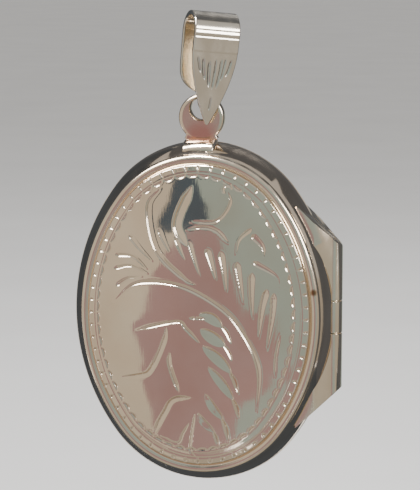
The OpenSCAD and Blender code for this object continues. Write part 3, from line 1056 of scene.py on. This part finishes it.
def level_sheet(left, right, near_y, far_y, z):
    """Corners of a level sheet, above or below the locket."""
    return [(left, near_y, z), (right, near_y, z), (right, far_y, z), (left, far_y, z)]


def build_stage():
    """A pale floor below the locket."""
    size, drop = 12.0, 0.12
    floor_z = middle[2] * MM - drop
    corners = np.array(level_sheet(-size, size, -size, size, floor_z)) / MM
    floor = mesh_object("floor", corners, [(0, 1, 2, 3)])
    floor.data.materials.append(plain_floor("floor_pale"))
    floor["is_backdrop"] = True


def add_glowing_card(name, corners, colour):
    """A glowing sheet of colour in place of lit paper, seen only by the polished metal: painted light in
    its reflections.

    Its corners are (x, depth, z) from the middle of the body.
    """
    card = mesh_object(name, np.asarray(corners, float) + middle, [tuple(range(len(corners)))])
    material, tree, shader = new_material(name)
    tree.nodes.remove(shader)
    darker = [c * 0.85 for c in colour]
    mottle = ramp(tree, noise(tree, 12, 2), (0.3, darker), (0.7, colour))
    # Painted light: the sheet glows with its own colour instead of being lit, and only reflections in the
    # metal see it.
    glow = add_node(tree, "Emission", {"Color": mottle}).outputs["Emission"]
    feed(tree, tree.nodes["Material Output"], {"Surface": glow})
    card.data.materials.append(material)
    for kind in ("camera", "diffuse", "transmission", "shadow"):
        setattr(card, f"visible_{kind}", False)
    card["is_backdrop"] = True


def facing(outline_xz, y):
    """Corners of a sheet with a smooth outline, that faces the locket from in front."""
    return [(x, y, z) for x, z in smooth_line(outline_xz, 4)[:-1]]


# Outlines of the shaped glowing sheets, from the middle of the body
ROSE_OUTLINE = [
    (-66, -10), (-53, 3), (-34, 12), (-20, 9), (-11, -6), (-2, -21), (19, -25), (20, -42), (17, -58),
    (0, -64), (-8, -76), (-14, -91), (-33, -96), (-52, -96), (-71, -88), (-73, -74), (-79, -62),
    (-77, -46), (-84, -35), (-72, -26), (-66, -10),
]
CORNER_OUTLINE = [
    (28, -52), (44, -45), (62, -58), (50, -80), (20, -96), (2, -92), (14, -78), (28, -66), (28, -52),
]
WEDGE_OUTLINE = [(-41, 42), (-26, 18), (-32, 13), (-57, 10), (-62, 14), (-53, 25), (-50, 36), (-41, 42)]


def build_glowing_cards():
    """Glowing sheets of cream, sage, rose and slate before and behind the locket, and dark ones beside its
    bands: painted reflections.
    """
    cream, sage, rose = (0.70, 0.64, 0.55), (0.40, 0.485, 0.475), (0.43, 0.30, 0.32)
    slate, stone = (0.10, 0.13, 0.17), (0.49, 0.45, 0.385)
    umber, ink = (0.117, 0.125, 0.14), (0.078, 0.092, 0.11)
    add_glowing_card("card_cream", upright((-180, -156), (-46, -156), -110, 120), cream)
    add_glowing_card("card_cream_side", upright((-320, -30), (-180, -156), -110, 120), cream)
    add_glowing_card("card_sage", upright((-46, -155), (110, -155), -90, 90), sage)
    add_glowing_card("card_rose", facing(ROSE_OUTLINE, -150), rose)
    add_glowing_card("card_rose_corner", facing(CORNER_OUTLINE, -150), rose)
    add_glowing_card("card_stone", upright((110, -155), (235, -20), -110, 22), stone)
    add_glowing_card("card_slate", facing(WEDGE_OUTLINE, -148), slate)
    add_glowing_card("card_cream_back", upright((-110, 156), (20, 156), -110, 20), cream)
    add_glowing_card("card_sage_back", upright((20, 155), (110, 155), -90, 20), sage)
    add_glowing_card("card_umber_back", upright((-170, 157), (170, 157), 18, 150), umber)
    add_glowing_card("card_umber_left", upright((-230, 0), (-110, 165), -115, 230), ink)
    add_glowing_card("card_umber_right", upright((230, -20), (110, 165), -115, 200), umber)
    add_glowing_card("card_umber_under", level_sheet(-230, 230, -25, 160, -116), ink)
    add_glowing_card("card_stone_under", level_sheet(-230, 230, -190, -25, -116), stone)
    add_glowing_card("card_umber_over", level_sheet(-90, 120, -15, 157, 150), umber)


def build_world():
    """Soft even light from all round."""
    world = bpy.data.worlds.new("studio")
    world.use_nodes = True
    bpy.context.scene.world = world
    background = world.node_tree.nodes["Background"]
    background.inputs["Color"].default_value = (0.80, 0.79, 0.77, 1)
    background.inputs["Strength"].default_value = 0.7


def outwards(azimuth, elevation):
    """Direction from the locket, for angles in radians. Azimuth 0 is in front of it."""
    return Vector((math.sin(azimuth) * math.cos(elevation), -math.cos(azimuth) * math.cos(elevation),
                   math.sin(elevation)))


def add_light(name, azimuth, elevation, distance, size, power):
    """A square soft light that looks at the locket. Azimuth 90 is on its joint side."""
    light = bpy.data.lights.new(name, "AREA")
    light.size, light.energy = size, power
    lamp = bpy.data.objects.new(name, light)
    bpy.context.scene.collection.objects.link(lamp)
    out = outwards(math.radians(azimuth), math.radians(elevation))
    lamp.location = Vector(middle * MM) + out * distance
    lamp.rotation_euler = out.to_track_quat("Z", "Y").to_euler()


def build_lights():
    """Angles are in degrees, lengths in metres and power in watts."""
    add_light("key", -50, 48, distance=0.7, size=0.35, power=6)
    add_light("fill", 54, 20, distance=0.8, size=0.3, power=3.5)
    add_light("back", 170, 50, distance=0.8, size=0.4, power=3)
    add_light("spark", -35, 70, distance=0.35, size=0.07, power=2)


def build_camera():
    """The camera looks at the locket from a little to its joint side and from above."""
    azimuth, elevation, roll = (math.radians(a) for a in (12.82, 8.19, 0.11))
    distance, across, up = 0.2, 0.000417, 0.005771
    out = outwards(azimuth, elevation)
    right = Vector((math.cos(azimuth), math.sin(azimuth), 0))
    upward = out.cross(right)
    camera = bpy.data.objects.new("camera", bpy.data.cameras.new("camera"))
    bpy.context.scene.collection.objects.link(camera)
    camera.data.lens = 167.2
    camera.data.clip_start = 0.01
    place = Vector(middle * MM) + right * across + upward * up + out * distance
    turn = Matrix((right, upward, out)).transposed().to_4x4()
    camera.matrix_world = Matrix.Translation(place) @ turn @ Matrix.Rotation(roll, 4, "Z")
    bpy.context.scene.camera = camera


build_world()
build_stage()
build_glowing_cards()
build_lights()
build_camera()
build_half("front", FRONT, "front_half")
build_half("back", BACK, "back_half")
build_joint()
build_snap_lip()
shown(make_lug_ring("lug_ring_piece"), "front_half", "lug_gold")
shown(make_lug_foot("lug_foot_piece"), "front_half", "lug_gold")
shown(make_bail("bail_piece"), "bail_body", "bail_gold")

bpy.context.view_layer.update()
sizes = {"cad": cad_bounds, "visual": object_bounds()}
sizes = {name: [list(corner) for corner in bounds] for name, bounds in sizes.items()}
